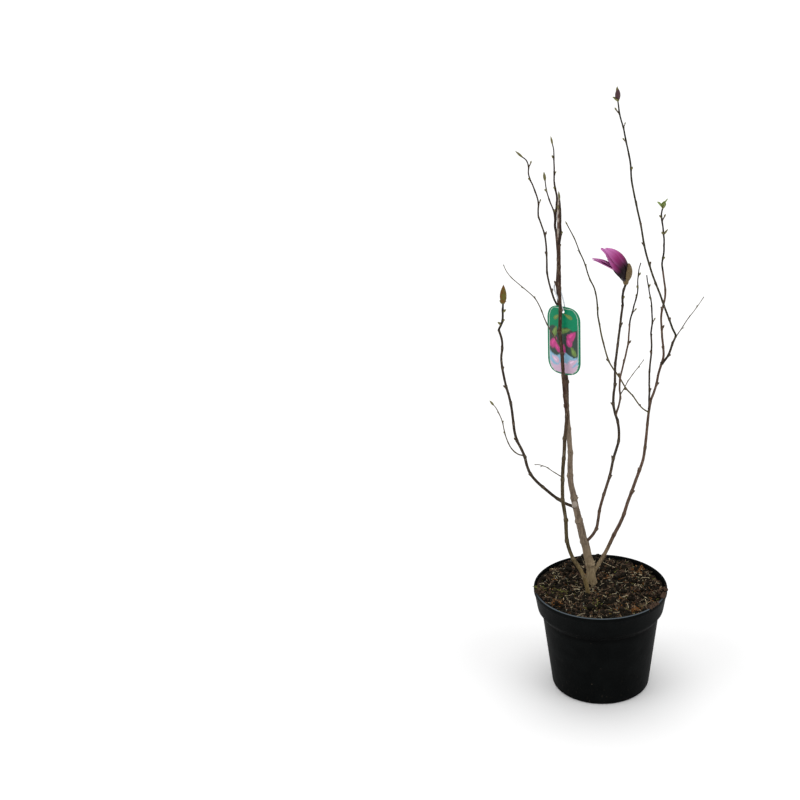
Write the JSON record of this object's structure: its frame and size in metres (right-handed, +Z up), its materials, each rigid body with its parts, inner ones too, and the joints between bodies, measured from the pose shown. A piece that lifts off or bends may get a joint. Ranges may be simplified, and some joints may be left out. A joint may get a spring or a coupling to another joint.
{
  "type": "potted magnolia tree",
  "caption": "Young magnolia of several slender stems in a round nursery pot, nearly bare, with a half-open flower, swelling buds and a hanging plant label.",
  "frame": {"origin": "centre of the pot's flat underside, on the surface it stands on", "axes": "+Z up along the pot's axis, +X to the plant's right and +Y to its back, away from the side that the label faces"},
  "size_m": [0.293, 0.2357, 0.8672],
  "materials": {
    "pot": "satin",
    "soil": "matte",
    "trunk_bark": "matte",
    "bough_bark": "matte",
    "twigs": "matte",
    "flower": "satin",
    "label": "satin",
    "label_tie": "gloss"
  },
  "bodies": {
    "root": {"pot": "pot", "soil": "soil", "trunk": "trunk_bark", "front_stem": "bough_bark", "left_bough": "bough_bark", "crown_left_bough": "bough_bark", "flower_bough": "bough_bark", "flower_side_bough": "bough_bark", "right_stem": "bough_bark", "right_bough": "bough_bark", "back_bough": "bough_bark", "outer_bough": "bough_bark", "tall_bough": "bough_bark", "whip_bough": "bough_bark", "trunk_tip_twigs": "twigs", "front_tip_twigs": "twigs", "front_low_twigs": "twigs", "label_side_twigs": "twigs", "left_tip_twigs": "twigs", "left_low_twigs": "twigs", "crown_left_twigs": "twigs", "flower_twigs": "flower", "flower_side_twigs": "twigs", "flower_low_twigs": "twigs", "right_tip_twigs": "twigs", "back_tip_twigs": "twigs", "outer_twigs": "twigs", "tall_tip_twigs": "twigs", "whip_twigs": "twigs", "label": "label", "label_tie": "label_tie"}
  },
  "joints": []
}
